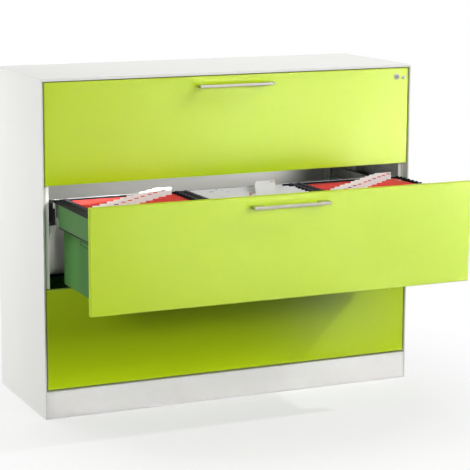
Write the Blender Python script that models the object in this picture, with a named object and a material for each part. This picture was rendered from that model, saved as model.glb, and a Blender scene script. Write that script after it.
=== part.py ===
"""Lateral filing cabinet: a steel carcass with three wide drawers, the middle one pulled open.

Metres, +Z up. X runs across the width and the drawer fronts face -Y. The origin is on the floor, in
the middle of the whole outline, open drawer and handles included.
"""

import math

import bmesh
import bpy

# Overall size
CABINET_WIDTH = 1.200
CABINET_DEPTH = 0.435
CABINET_HEIGHT = 0.998

# Sheet metal and clearances
SHEET = 0.001
POST_SHEET = 0.0015
GAP = 0.0003
FLOOR_CLEARANCE = 0.002
EDGE_RADIUS = 0.0012

# Carcass
TOP_LIP = 0.008
SIDE_EDGE = 0.004
SIDE_FLANGE = 0.009
REAR_RETURN = 0.015
UPRIGHT_WIDTH = 0.064
REAR_UPRIGHT_WIDTH = 0.048
UPRIGHT_DEPTH = 0.0137
PLINTH_HEIGHT = 0.083
PLINTH_RECESS = 0.001
PLINTH_FLANGE = 0.045

# Levelling feet
FOOT_INSET_X = 0.045
FOOT_INSET_Y = 0.030
FOOT_PAD_RADIUS = 0.017
FOOT_PAD_TOP_RADIUS = 0.012
FOOT_PAD_HEIGHT = 0.008
FOOT_STEM_RADIUS = 0.006
FOOT_PLATE_RADIUS = 0.020
FOOT_PLATE_HEIGHT = 0.003

# Drawer fronts
DRAWERS = ("bottom", "middle", "top")
OPENING = {"bottom": 0.0, "middle": 0.374, "top": 0.0}
FRONT_THICKNESS = 0.018
FRONT_RECESS = 0.001
FRONT_SIDE_GAP = 0.005
FRONT_GAP = 0.004
FRONT_LOWEST_GAP = 0.006
FRONT_HIGHEST_GAP = 0.0025
FRONT_STOP_GAP = 0.0015
FRONT_RIM = 0.012
LINER_OVERLAP = 0.006

# Drawer trays, with an outward hood along each side over the runner
TRAY_REAR_GAP = 0.0418
TRAY_RISE = 0.0085
TRAY_DROP = 0.045
HOOD_HEIGHT = 0.063
HOOD_SETBACK = 0.052
HOOD_SIDE_GAP = 0.019
RUNNER_SPACE = 0.034

# File rails on top of the tray: a wide rail left of each bay, and only an edge right of the last
RAIL_HEIGHT = 0.006
RAIL_WIDTH = 0.040
RAIL_EDGE = 0.0055
RAIL_END = 0.012
BAYS = ("left", "centre", "right")

# Telescopic runners
RUNNER_START = 0.010
RUNNER_REAR_GAP = 0.0106
SLIDE_SETBACK = 0.040
SLIDE_LIP = 0.003
SLIDE_WEB = 0.0012
SLIDE_PLAY = 0.0004
INNER_HALF_HEIGHT = 0.013
INNER_DEPTH = 0.0132
MIDDLE_OFFSET = 0.0027
MIDDLE_DEPTH = 0.0137
FIXED_WEB_GAP = 0.0018
FIXED_LIP_DEPTH = 0.0145
CARRIER_DROP = 0.008
CARRIER_PLATE_TOP = 0.045

# Handles
HANDLE_LENGTH = 0.240
HANDLE_REACH = 0.030
HANDLE_HEIGHT = 0.008
HANDLE_BAR = 0.008
HANDLE_FOOT = 0.035
HANDLE_DROP = 0.028
HANDLE_CORNER = 0.006
HANDLE_EDGE = 0.0008

# Lock in the top drawer's front
LOCK_FROM_SIDE = 0.040
LOCK_FROM_TOP = 0.0265
LOCK_RING_RADIUS = 0.009
LOCK_RING_REACH = 0.002
LOCK_BODY_RADIUS = 0.0078
LOCK_BODY_DEPTH = 0.0245
BARREL_RADIUS = 0.006
BARREL_PLAY = 0.0003
BARREL_TAIL = 0.003
KEYWAY_WIDTH = 0.0014
KEYWAY_LENGTH = 0.0075
KEYWAY_DEPTH = 0.003
CAM_LENGTH = 0.020
CAM_WIDTH = 0.012
CAM_THICKNESS = 0.002
STRIKE_WIDTH = 0.040
STRIKE_SETBACK = 0.0027
STRIKE_CLEARANCE = 0.0032
STUD_FROM_SIDE = 0.017
STUD_FROM_TOP = 0.029
STUD_RADIUS = 0.006
STUD_REACH = 0.0035

# Interlock bar that lets one drawer open at a time, at the right rear
BAR_WIDTH = 0.006
BAR_DEPTH = 0.012
BAR_FROM_BACK = 0.084
BAR_FROM_PLATE = 0.005
BAR_TOP_GAP = 0.032
BAR_SLOT_PLAY = 0.0015
GUIDE_WIDTH = 0.0139
GUIDE_FRONT = 0.043
GUIDE_REAR = 0.034
GUIDE_BELOW = 0.018
GUIDE_ABOVE = 0.028

# Suspension files in the middle drawer
FILE_SIDE_GAP = 0.003
FILE_PITCH = 0.0235
FILE_FRONT_SPACE = 0.070
FILE_SHEET = 0.0012
FILE_BOTTOM_GAP = 0.018
FILE_HOOK_REACH = 0.005
FILE_HOOK_HEIGHT = 0.003
FILE_HOOK_WIDTH = 0.0028
TAB_WIDTH = 0.062
TAB_HEIGHT = 0.018
TAB_THICKNESS = 0.0012
TAB_STEP = 0.030
TAB_STEPS = 9
TAB_FROM_SIDE = 0.0055

# Roundness
ROUND_SIDES = 24
CORNER_STEPS = 4
EDGE_STEPS = 2
ROUND_PROFILE = 0.5
SMOOTH_ANGLE = 35
BEVEL_ANGLE = 60

# Places worked out from the sizes
HALF_WIDTH = CABINET_WIDTH / 2
REACH_OUT = max(OPENING.values()) - FRONT_RECESS + HANDLE_REACH
CARCASS_FRONT = (REACH_OUT - CABINET_DEPTH) / 2
TOP_UNDERSIDE = CABINET_HEIGHT - SHEET - GAP
SIDE_TOP = CABINET_HEIGHT - TOP_LIP - GAP
EDGE_INNER = HALF_WIDTH - SIDE_EDGE
FRONT_BACK = FRONT_RECESS + FRONT_THICKNESS
FLANGE_FACE = FRONT_BACK + FRONT_STOP_GAP
INSIDE_FRONT = FLANGE_FACE + SHEET + GAP
INSIDE_BACK = CABINET_DEPTH - 2 * (SHEET + GAP)
SKIN_INNER = HALF_WIDTH - SHEET - GAP
UPRIGHT_FACE = SKIN_INNER - UPRIGHT_DEPTH
FLOOR_TOP = PLINTH_HEIGHT + GAP + SHEET
FRONT_HALF = EDGE_INNER - FRONT_SIDE_GAP
FRONT_TOP = CABINET_HEIGHT - TOP_LIP - FRONT_HIGHEST_GAP
FRONT_BOTTOM = PLINTH_HEIGHT + FRONT_LOWEST_GAP
FRONT_HEIGHT = (FRONT_TOP - FRONT_BOTTOM - (len(DRAWERS) - 1) * FRONT_GAP) / len(DRAWERS)
LINER_FACE = FRONT_BACK + GAP
TRAY_FRONT = LINER_FACE + SHEET + GAP
TRAY_BACK = INSIDE_BACK - TRAY_REAR_GAP
HOOD_HALF = UPRIGHT_FACE - HOOD_SIDE_GAP
TRAY_HALF = HOOD_HALF - RUNNER_SPACE
BAY_WIDTH = (2 * HOOD_HALF - RAIL_EDGE) / len(BAYS) - RAIL_WIDTH
PLATE_FACE = UPRIGHT_FACE - GAP - POST_SHEET
MIDDLE_HALF_HEIGHT = INNER_HALF_HEIGHT + SLIDE_PLAY + SLIDE_LIP
FIXED_HALF_HEIGHT = MIDDLE_HALF_HEIGHT + SLIDE_PLAY + SLIDE_LIP
LOCK_X = FRONT_HALF - LOCK_FROM_SIDE
LOCK_Z = FRONT_TOP - LOCK_FROM_TOP
LOCK_HOLE_RADIUS = LOCK_BODY_RADIUS + GAP
CAM_FACE = FRONT_RECESS + LOCK_BODY_DEPTH + BARREL_TAIL
RUNNER_FRONT = INSIDE_FRONT + RUNNER_START
RUNNER_BACK = INSIDE_BACK - RUNNER_REAR_GAP
SLIDE_BACK = RUNNER_BACK - SLIDE_SETBACK
BAR_X = PLATE_FACE - GAP - BAR_FROM_PLATE - BAR_WIDTH / 2
BAR_Y = CABINET_DEPTH - BAR_FROM_BACK

# Each finish: colour, roughness and how metallic it is
FINISHES = {
    "white_paint": ((0.86, 0.86, 0.83), 0.45, 0.0),
    "light_grey_paint": ((0.56, 0.55, 0.51), 0.5, 0.0),
    "green_paint": ((0.56, 0.74, 0.10), 0.4, 0.0),
    "dark_green_paint": ((0.045, 0.16, 0.045), 0.45, 0.0),
    "black_plastic": ((0.012, 0.012, 0.015), 0.5, 0.0),
    "zinc_plate": ((0.60, 0.60, 0.60), 0.35, 1.0),
    "satin_nickel": ((0.52, 0.48, 0.44), 0.3, 1.0),
    "red_card": ((0.80, 0.055, 0.040), 0.7, 0.0),
    "dark_card": ((0.02, 0.025, 0.035), 0.7, 0.0),
}
FILE_COVERS = ("red_card", "dark_card", "red_card")


def clear_scene():
    for obj in list(bpy.data.objects):
        bpy.data.objects.remove(obj, do_unlink=True)


def material(name, colour, roughness, metallic):
    made = bpy.data.materials.new(name)
    made.use_nodes = True
    shader = made.node_tree.nodes["Principled BSDF"]
    shader.inputs["Base Color"].default_value = (*colour, 1.0)
    shader.inputs["Roughness"].default_value = roughness
    shader.inputs["Metallic"].default_value = metallic
    return made


def empty(name, location, parent=None):
    made = bpy.data.objects.new(name, None)
    bpy.context.scene.collection.objects.link(made)
    made.parent = parent
    made.location = location
    return made


def object_of(name, mesh_builder, paint=None, parent=None):
    """A named object whose mesh is the closed bmesh that was built, with its faces turned out."""
    bmesh.ops.recalc_face_normals(mesh_builder, faces=mesh_builder.faces)
    mesh = bpy.data.meshes.new(name)
    mesh_builder.to_mesh(mesh)
    mesh_builder.free()
    made = bpy.data.objects.new(name, mesh)
    bpy.context.scene.collection.objects.link(made)
    if paint:
        mesh.materials.append(paint)
    made.parent = parent
    return made


def boxes(name, ranges, paint=None, parent=None):
    """One object of boxes that don't touch, each from its lowest corner to its highest."""
    shape = bmesh.new()
    for low, high in ranges:
        for vertex in bmesh.ops.create_cube(shape, size=1.0)["verts"]:
            for axis in range(3):
                vertex.co[axis] = high[axis] if vertex.co[axis] > 0 else low[axis]
    return object_of(name, shape, paint, parent)


def box(name, low, high, paint=None, parent=None):
    return boxes(name, [(low, high)], paint, parent)


def prism(name, outline, axis, low, high, paint=None, parent=None):
    """A flat outline drawn out along an axis. Its points are the other two axes, in order."""
    place = {
        "X": lambda a, b, along: (along, a, b),
        "Y": lambda a, b, along: (a, along, b),
        "Z": lambda a, b, along: (a, b, along),
    }[axis]
    shape = bmesh.new()
    near = [shape.verts.new(place(a, b, low)) for a, b in outline]
    far = [shape.verts.new(place(a, b, high)) for a, b in outline]
    shape.faces.new(near)
    shape.faces.new(far)
    for i in range(len(outline)):
        j = (i + 1) % len(outline)
        shape.faces.new((near[i], near[j], far[j], far[i]))
    return object_of(name, shape, paint, parent)


def turned(name, profile, centre, axis, paint=None, parent=None):
    """A solid of revolution from (radius, place along the axis). A radius of 0 closes an end."""
    turn = {
        "Y": lambda a, b, along: (a, along, b),
        "Z": lambda a, b, along: (a, b, along),
    }[axis]
    shape = bmesh.new()
    rings = []
    for radius, along in profile:
        steps = ROUND_SIDES if radius > 0 else 1
        ring = []
        for i in range(steps):
            angle = 2 * math.pi * i / ROUND_SIDES
            point = turn(radius * math.cos(angle), radius * math.sin(angle), along)
            ring.append(shape.verts.new([p + c for p, c in zip(point, centre)]))
        rings.append(ring)
    for first, second in zip(rings, rings[1:]):
        for i in range(ROUND_SIDES):
            j = (i + 1) % ROUND_SIDES
            around = ((first, i), (first, j), (second, j), (second, i))
            corners = [ring[k % len(ring)] for ring, k in around]
            shape.faces.new(list(dict.fromkeys(corners)))
    if len(rings[0]) > 1:
        for i in range(ROUND_SIDES):
            j = (i + 1) % ROUND_SIDES
            shape.faces.new((rings[-1][i], rings[-1][j], rings[0][j], rings[0][i]))
    made = object_of(name, shape, paint, parent)
    smooth(made)
    return made


def smooth(obj):
    obj.data.shade_smooth()
    obj.data.set_sharp_from_angle(angle=math.radians(SMOOTH_ANGLE))


def combine(target, other, operation):
    """Applies a Boolean of the other object, in the target's own frame, and removes that object."""
    parent, target.parent = target.parent, None
    modifier = target.modifiers.new("combine", "BOOLEAN")
    modifier.operation = operation
    modifier.object = other
    modifier.solver = "EXACT"
    bpy.context.view_layer.update()
    graph = bpy.context.evaluated_depsgraph_get()
    mesh = bpy.data.meshes.new_from_object(target.evaluated_get(graph))
    target.modifiers.clear()
    target.data = mesh
    target.parent = parent
    bpy.data.objects.remove(other, do_unlink=True)


def join(target, *others):
    for other in others:
        combine(target, other, "UNION")


def cut(target, *others):
    for other in others:
        combine(target, other, "DIFFERENCE")


def cut_box(target, low, high):
    cut(target, box("cutter", low, high))


def cut_round(target, centre, radius, low, high):
    """Cuts a round hole along Y."""
    profile = [(0, low), (radius, low), (radius, high), (0, high)]
    cut(target, turned("cutter", profile, (centre[0], 0, centre[1]), "Y"))


def round_edges(obj, width, segments, chosen):
    """Rounds the edges whose two ends both pass the test."""
    shape = bmesh.new()
    shape.from_mesh(obj.data)
    edges = [edge for edge in shape.edges if all(chosen(v.co) for v in edge.verts)]
    bmesh.ops.bevel(shape, geom=edges, offset=width, segments=segments, profile=ROUND_PROFILE,
                    affect="EDGES")
    shape.to_mesh(obj.data)
    shape.free()


def sheet_outline(path, thickness):
    """The outline of a folded sheet, whose metal lies to the right of the path."""
    offset = []
    for i, point in enumerate(path):
        normals = []
        for a, b in ((i - 1, i), (i, i + 1)):
            if a < 0 or b >= len(path):
                continue
            du, dv = path[b][0] - path[a][0], path[b][1] - path[a][1]
            length = math.hypot(du, dv)
            normals.append((dv / length, -du / length))
        if len(normals) == 2:
            first, second = normals
            share = 1 + first[0] * second[0] + first[1] * second[1]
            normal = ((first[0] + second[0]) / share, (first[1] + second[1]) / share)
        else:
            normal = normals[0]
        offset.append((point[0] + thickness * normal[0], point[1] + thickness * normal[1]))
    return list(path) + offset[::-1]


def mirrored(outline, side):
    """The same outline on the right (side 1) or turned over to the left (side -1)."""
    return [(side * a, b) for a, b in outline]


def front_range(level):
    low = FRONT_BOTTOM + level * (FRONT_HEIGHT + FRONT_GAP)
    return low, low + FRONT_HEIGHT


def runner_height(level):
    return front_range(level)[1] - TRAY_DROP - HOOD_HEIGHT / 2


def side_panel(side, paint, parent):
    path = [
        (HALF_WIDTH - REAR_RETURN, CABINET_DEPTH),
        (HALF_WIDTH, CABINET_DEPTH),
        (HALF_WIDTH, 0),
        (EDGE_INNER, 0),
        (EDGE_INNER, FLANGE_FACE),
        (EDGE_INNER - SIDE_FLANGE, FLANGE_FACE),
    ]
    outline = mirrored(sheet_outline(path, SHEET), side)
    name = "side_panel_right" if side > 0 else "side_panel_left"
    return prism(name, outline, "Z", FLOOR_CLEARANCE, SIDE_TOP, paint, parent)


def top_panel(paint, parent):
    """A shallow pan, open below."""
    made = box("top_panel", (-HALF_WIDTH, 0, CABINET_HEIGHT - TOP_LIP),
               (HALF_WIDTH, CABINET_DEPTH, CABINET_HEIGHT), paint, parent)
    round_edges(made, EDGE_RADIUS, EDGE_STEPS, lambda co: co.z > CABINET_HEIGHT - SHEET / 2)
    cut_box(made, (SHEET - HALF_WIDTH, SHEET, CABINET_HEIGHT - TOP_LIP - SHEET),
            (HALF_WIDTH - SHEET, CABINET_DEPTH - SHEET, CABINET_HEIGHT - SHEET))
    return made


def back_panel(paint, parent):
    back = CABINET_DEPTH - SHEET - GAP
    return box("back_panel", (-SKIN_INNER, back - SHEET, FLOOR_CLEARANCE),
               (SKIN_INNER, back, TOP_UNDERSIDE), paint, parent)


def floor_panel(paint, parent):
    return box("floor_panel", (-SKIN_INNER, INSIDE_FRONT, FLOOR_TOP - SHEET),
               (SKIN_INNER, INSIDE_BACK - GAP, FLOOR_TOP), paint, parent)


def plinth_front(paint, parent):
    path = [(PLINTH_RECESS, FLOOR_CLEARANCE), (PLINTH_RECESS, PLINTH_HEIGHT),
            (PLINTH_RECESS + PLINTH_FLANGE, PLINTH_HEIGHT)]
    reach = EDGE_INNER - GAP
    made = prism("plinth_front", sheet_outline(path, SHEET), "X", -reach, reach, paint, parent)
    flange_end = EDGE_INNER - SIDE_FLANGE - GAP
    behind = PLINTH_RECESS + PLINTH_FLANGE + SHEET
    for side in (-1, 1):
        ends = sorted((side * flange_end, side * (reach + SHEET)))
        cut_box(made, (ends[0], FLANGE_FACE - GAP, 0), (ends[1], behind, PLINTH_HEIGHT + SHEET))
    return made


def plinth_rear(paint, parent):
    back = INSIDE_BACK - GAP
    path = [(back - PLINTH_FLANGE, PLINTH_HEIGHT), (back, PLINTH_HEIGHT), (back, FLOOR_CLEARANCE)]
    return prism("plinth_rear", sheet_outline(path, SHEET), "X", -SKIN_INNER, SKIN_INNER, paint, parent)


def levelling_foot(name, x, y, paint, parent):
    top = PLINTH_HEIGHT - SHEET - GAP
    profile = [
        (0, 0),
        (FOOT_PAD_RADIUS, 0),
        (FOOT_PAD_RADIUS, FOOT_PAD_HEIGHT / 2),
        (FOOT_PAD_TOP_RADIUS, FOOT_PAD_HEIGHT),
        (FOOT_STEM_RADIUS, FOOT_PAD_HEIGHT),
        (FOOT_STEM_RADIUS, top - FOOT_PLATE_HEIGHT),
        (FOOT_PLATE_RADIUS, top - FOOT_PLATE_HEIGHT),
        (FOOT_PLATE_RADIUS, top),
        (0, top),
    ]
    return turned(name, profile, (x, y, 0), "Z", paint, parent)


def upright(name, side, front, back, paint, parent):
    """A channel post against the side panel, its open face outwards."""
    path = [(SKIN_INNER, front), (UPRIGHT_FACE, front), (UPRIGHT_FACE, back), (SKIN_INNER, back)]
    outline = mirrored(sheet_outline(path, POST_SHEET), side)
    return prism(name, outline, "Z", FLOOR_TOP + GAP, TOP_UNDERSIDE, paint, parent)


def runner_name(member, level, side):
    where = "right" if side > 0 else "left"
    return f"runner_{member}_{DRAWERS[level]}_{where}"


def channel(x_web, x_lip, half_height, web, lip):
    """The outline of a C channel in (x, z), its web at x_web and its lips reaching to x_lip."""
    towards = 1 if x_lip > x_web else -1
    return [
        (x_web, -half_height), (x_lip, -half_height), (x_lip, lip - half_height),
        (x_web + towards * web, lip - half_height), (x_web + towards * web, half_height - lip),
        (x_lip, half_height - lip), (x_lip, half_height), (x_web, half_height),
    ]


def raised(outline, height):
    return [(a, b + height) for a, b in outline]


def runner_fixed(level, side, paint, parent):
    """The runner's outer member, with the carrier plate that holds it to both uprights."""
    height = runner_height(level)
    web = TRAY_HALF + GAP + MIDDLE_OFFSET + MIDDLE_DEPTH + FIXED_WEB_GAP
    shelf = HOOD_HEIGHT / 2 + CARRIER_DROP
    plate = UPRIGHT_FACE - GAP
    outline = [
        (web - FIXED_LIP_DEPTH + SLIDE_WEB, FIXED_HALF_HEIGHT - SLIDE_LIP),
        (web - FIXED_LIP_DEPTH + SLIDE_WEB, FIXED_HALF_HEIGHT),
        (web + SLIDE_WEB, FIXED_HALF_HEIGHT),
        (web + SLIDE_WEB, -shelf),
        (plate - POST_SHEET, -shelf),
        (plate - POST_SHEET, CARRIER_PLATE_TOP),
        (plate, CARRIER_PLATE_TOP),
        (plate, -shelf - POST_SHEET),
        (web, -shelf - POST_SHEET),
        (web, -FIXED_HALF_HEIGHT),
        (web - FIXED_LIP_DEPTH + SLIDE_WEB, -FIXED_HALF_HEIGHT),
        (web - FIXED_LIP_DEPTH + SLIDE_WEB, SLIDE_LIP - FIXED_HALF_HEIGHT),
        (web, SLIDE_LIP - FIXED_HALF_HEIGHT),
        (web, FIXED_HALF_HEIGHT - SLIDE_LIP),
    ]
    outline = raised(mirrored(outline, side), height)
    made = prism(runner_name("fixed", level, side), outline, "Y", RUNNER_FRONT, RUNNER_BACK,
                 paint, parent)
    if side > 0:
        half_x, half_y = BAR_WIDTH / 2 + BAR_SLOT_PLAY, BAR_DEPTH / 2 + BAR_SLOT_PLAY
        cut_box(made, (BAR_X - half_x, BAR_Y - half_y, height - shelf - 2 * POST_SHEET),
                (BAR_X + half_x, BAR_Y + half_y, height - shelf + POST_SHEET))
    return made


def runner_middle(level, side, paint, parent):
    web = TRAY_HALF + GAP + MIDDLE_OFFSET + MIDDLE_DEPTH
    outline = channel(web, web - MIDDLE_DEPTH, MIDDLE_HALF_HEIGHT, SLIDE_WEB, SLIDE_LIP)
    outline = raised(mirrored(outline, side), runner_height(level))
    return prism(runner_name("middle", level, side), outline, "Y", RUNNER_FRONT, SLIDE_BACK,
                 paint, parent)


def runner_inner(level, side, paint, parent):
    web = TRAY_HALF + GAP
    outline = channel(web, web + INNER_DEPTH, INNER_HALF_HEIGHT, SLIDE_WEB, SLIDE_LIP)
    outline = raised(mirrored(outline, side), runner_height(level))
    return prism(runner_name("inner", level, side), outline, "Y", RUNNER_FRONT, SLIDE_BACK,
                 paint, parent)


def drawer_front(level, paint, parent):
    """A folded steel pan, open at the back inside its rim."""
    low, high = front_range(level)
    made = box(f"drawer_front_{DRAWERS[level]}", (-FRONT_HALF, FRONT_RECESS, low),
               (FRONT_HALF, FRONT_BACK, high), paint, parent)
    round_edges(made, EDGE_RADIUS, EDGE_STEPS, lambda co: co.y < FRONT_RECESS + SHEET / 2)
    cut_box(made, (SHEET - FRONT_HALF, FRONT_RECESS + SHEET, low + SHEET),
            (FRONT_HALF - SHEET, FRONT_BACK - SHEET, high - SHEET))
    cut_box(made, (FRONT_RIM - FRONT_HALF, FRONT_BACK - 2 * SHEET, low + FRONT_RIM),
            (FRONT_HALF - FRONT_RIM, FRONT_BACK + SHEET, high - FRONT_RIM))
    if DRAWERS[level] == "top":
        cut_round(made, (LOCK_X, LOCK_Z), LOCK_HOLE_RADIUS, -FRONT_THICKNESS, FRONT_RECESS + 2 * SHEET)
    return made


def drawer_liner(level, paint, parent):
    """The plate that closes the front's pan from behind."""
    low, high = front_range(level)
    edge = FRONT_RIM - LINER_OVERLAP
    made = box(f"drawer_liner_{DRAWERS[level]}", (edge - FRONT_HALF, LINER_FACE, low + edge),
               (FRONT_HALF - edge, LINER_FACE + SHEET, high - edge), paint, parent)
    if DRAWERS[level] == "top":
        cut_round(made, (LOCK_X, LOCK_Z), LOCK_HOLE_RADIUS, FRONT_RECESS, INSIDE_FRONT + FRONT_THICKNESS)
    return made


def drawer_tray(level, paint, parent):
    """An open tray of sheet, its two sides folded outwards over the runners as hoods that stop short of its rear."""
    front_low, front_high = front_range(level)
    low, high = front_low + TRAY_RISE, front_high - TRAY_DROP
    hood_end = high - HOOD_HEIGHT
    side = [
        (TRAY_HALF, low), (TRAY_HALF, high - SHEET), (HOOD_HALF - SHEET, high - SHEET),
        (HOOD_HALF - SHEET, hood_end), (HOOD_HALF, hood_end), (HOOD_HALF, high),
    ]
    outline = side + mirrored(side, -1)[::-1]
    made = prism(f"drawer_tray_{DRAWERS[level]}", outline, "Y", TRAY_FRONT, TRAY_BACK, paint, parent)
    cut_box(made, (SHEET - TRAY_HALF, TRAY_FRONT + SHEET, low + SHEET),
            (TRAY_HALF - SHEET, TRAY_BACK - SHEET, high + SHEET))
    for side_sign in (-1, 1):
        near, far = sorted((side_sign * (TRAY_HALF + SHEET), side_sign * (HOOD_HALF + SHEET)))
        cut_box(made, (near, TRAY_BACK - HOOD_SETBACK, hood_end - SHEET), (far, TRAY_BACK + SHEET, high + SHEET))
    return made


def bay_start(number):
    return RAIL_WIDTH - HOOD_HALF + number * (BAY_WIDTH + RAIL_WIDTH)


def file_rails(level, paint, parent):
    """The frame that the files hang from: rails front to back, tied by a bar at each end."""
    low = front_range(level)[1] - TRAY_DROP + GAP
    made = box(f"file_rails_{DRAWERS[level]}", (-HOOD_HALF, TRAY_FRONT, low),
               (HOOD_HALF, TRAY_BACK, low + RAIL_HEIGHT), paint, parent)
    for number in range(len(BAYS)):
        start = bay_start(number)
        cut_box(made, (start, TRAY_FRONT + RAIL_END, low - RAIL_HEIGHT),
                (start + BAY_WIDTH, TRAY_BACK - RAIL_END, low + 2 * RAIL_HEIGHT))
    return made


def arc(centre, radius, start, end, steps):
    turns = [math.radians(start + (end - start) * i / steps) for i in range(steps + 1)]
    return [(centre[0] + radius * math.cos(turn), centre[1] + radius * math.sin(turn)) for turn in turns]


def handle(level, paint, parent):
    """A flat bar with a wide foot at each end, cut as one U in plan."""
    half = HANDLE_LENGTH / 2
    face = FRONT_RECESS - GAP
    reach = FRONT_RECESS - HANDLE_REACH
    corner = HANDLE_CORNER
    outline = [(-half, face)]
    outline += arc((corner - half, reach + corner), corner, 180, 270, CORNER_STEPS)
    outline += arc((half - corner, reach + corner), corner, 270, 360, CORNER_STEPS)
    outline += [(half, face), (half - HANDLE_FOOT, face), (half - HANDLE_FOOT, reach + HANDLE_BAR),
                (HANDLE_FOOT - half, reach + HANDLE_BAR), (HANDLE_FOOT - half, face)]
    middle = front_range(level)[1] - HANDLE_DROP
    made = prism(f"drawer_handle_{DRAWERS[level]}", outline, "Z", middle - HANDLE_HEIGHT / 2,
                 middle + HANDLE_HEIGHT / 2, paint, parent)
    bevel = made.modifiers.new("soft edges", "BEVEL")
    bevel.width = HANDLE_EDGE
    bevel.segments = 1
    bevel.limit_method = "ANGLE"
    bevel.angle_limit = math.radians(BEVEL_ANGLE)
    return made


def lock_housing(paint, parent):
    bore = BARREL_RADIUS + BARREL_PLAY
    face = FRONT_RECESS - GAP
    profile = [
        (bore, FRONT_RECESS - LOCK_RING_REACH),
        (LOCK_RING_RADIUS - EDGE_RADIUS / 2, FRONT_RECESS - LOCK_RING_REACH),
        (LOCK_RING_RADIUS, FRONT_RECESS - LOCK_RING_REACH + EDGE_RADIUS / 2),
        (LOCK_RING_RADIUS, face),
        (LOCK_BODY_RADIUS, face),
        (LOCK_BODY_RADIUS, FRONT_RECESS + LOCK_BODY_DEPTH),
        (bore, FRONT_RECESS + LOCK_BODY_DEPTH),
    ]
    return turned("lock_housing", profile, (LOCK_X, 0, LOCK_Z), "Y", paint, parent)


def lock_barrel(paint, parent):
    """Turns about its parent empty, with the keyway upright while the lock is open."""
    front = FRONT_RECESS - LOCK_RING_REACH - EDGE_RADIUS / 2
    back = CAM_FACE - GAP
    profile = [(0, front), (BARREL_RADIUS, front), (BARREL_RADIUS, back), (0, back)]
    made = turned("lock_barrel", profile, (0, 0, 0), "Y", paint, parent)
    cut_box(made, (-KEYWAY_WIDTH / 2, front - KEYWAY_DEPTH, -KEYWAY_LENGTH / 2),
            (KEYWAY_WIDTH / 2, front + KEYWAY_DEPTH, KEYWAY_LENGTH / 2))
    return made


def lock_cam(paint, parent):
    """The tongue behind the barrel: to the left while open, and up behind the strike when locked."""
    half = CAM_WIDTH / 2
    outline = arc((0, 0), half, -90, 90, 2 * CORNER_STEPS)
    outline += arc((half - CAM_LENGTH, 0), half, 90, 270, 2 * CORNER_STEPS)
    return prism("lock_cam", outline, "Y", CAM_FACE, CAM_FACE + CAM_THICKNESS, paint, parent)


def lock_strike(paint, parent):
    front = INSIDE_FRONT + STRIKE_SETBACK
    low = LOCK_Z + LOCK_BODY_RADIUS + STRIKE_CLEARANCE
    return box("lock_strike", (LOCK_X - STRIKE_WIDTH / 2, front, low),
               (LOCK_X + STRIKE_WIDTH / 2, front + POST_SHEET, TOP_UNDERSIDE), paint, parent)


def lock_stud(paint, parent):
    face = FRONT_RECESS - GAP
    quarter = arc((0, 0), 1, 0, 90, CORNER_STEPS)[:-1]
    rise = [(STUD_RADIUS * out, face - STUD_REACH * up) for out, up in quarter]
    profile = [(0, face - STUD_REACH)] + rise[::-1] + [(0, face)]
    centre = (FRONT_HALF - STUD_FROM_SIDE, 0, FRONT_TOP - STUD_FROM_TOP)
    return turned("lock_stud", profile, centre, "Y", paint, parent)


def interlock_bar(paint, parent):
    return box("interlock_bar", (BAR_X - BAR_WIDTH / 2, BAR_Y - BAR_DEPTH / 2, FLOOR_TOP + GAP),
               (BAR_X + BAR_WIDTH / 2, BAR_Y + BAR_DEPTH / 2, CABINET_HEIGHT - BAR_TOP_GAP), paint, parent)


def interlock_guide(level, paint, parent):
    """The block on the runner's carrier plate that the interlock bar slides through."""
    height = runner_height(level)
    outer = PLATE_FACE - GAP
    made = box(f"interlock_guide_{DRAWERS[level]}",
               (outer - GUIDE_WIDTH, BAR_Y - GUIDE_FRONT, height - GUIDE_BELOW),
               (outer, BAR_Y + GUIDE_REAR, height + GUIDE_ABOVE), paint, parent)
    half_x, half_y = BAR_WIDTH / 2 + GAP, BAR_DEPTH / 2 + GAP
    cut_box(made, (BAR_X - half_x, BAR_Y - half_y, height - 2 * GUIDE_BELOW),
            (BAR_X + half_x, BAR_Y + half_y, height + 2 * GUIDE_ABOVE))
    return made


def hanging_files(number, paint, parent):
    """The bay's files as one folded sheet, with a hook bar on each top fold and a stepped row of tabs."""
    front_low, front_high = front_range(DRAWERS.index("middle"))
    rail_top = front_high - TRAY_DROP + GAP + RAIL_HEIGHT
    start = bay_start(number)
    low_z = front_low + TRAY_RISE + SHEET + FILE_BOTTOM_GAP
    high_z = rail_top + GAP + FILE_HOOK_HEIGHT / 2
    back = TRAY_BACK - RAIL_END - FILE_HOOK_WIDTH
    count = int((back - TRAY_FRONT - RAIL_END - FILE_FRONT_SPACE) / FILE_PITCH)
    folds = [back - i * FILE_PITCH for i in range(count + 1)]
    path = [(folds[0], high_z)]
    for behind, before in zip(folds, folds[1:]):
        path += [((behind + before) / 2, low_z), (before, high_z)]
    left, right = start + FILE_SIDE_GAP, start + BAY_WIDTH - FILE_SIDE_GAP
    thick = [(y, z + FILE_SHEET) for y, z in path]
    made = prism(f"hanging_files_{BAYS[number]}", path + thick[::-1], "X", left,
                 min(right, TRAY_HALF - SHEET - FILE_SIDE_GAP), paint, parent)
    hooks, tabs = [], []
    for i, y in enumerate(folds):
        half = FILE_HOOK_WIDTH / 2
        hooks.append(((start - FILE_HOOK_REACH, y - half, rail_top + GAP),
                      (start + BAY_WIDTH + FILE_HOOK_REACH, y + half, rail_top + GAP + FILE_HOOK_HEIGHT)))
        tab_left = right - TAB_WIDTH - TAB_FROM_SIDE - TAB_STEP * (i % TAB_STEPS)
        tabs.append(((tab_left, y - TAB_THICKNESS / 2, rail_top + FILE_HOOK_HEIGHT / 2),
                     (tab_left + TAB_WIDTH, y + TAB_THICKNESS / 2, rail_top + TAB_HEIGHT)))
    join(made, boxes("hooks", hooks), boxes("tabs", tabs))
    return made


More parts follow.
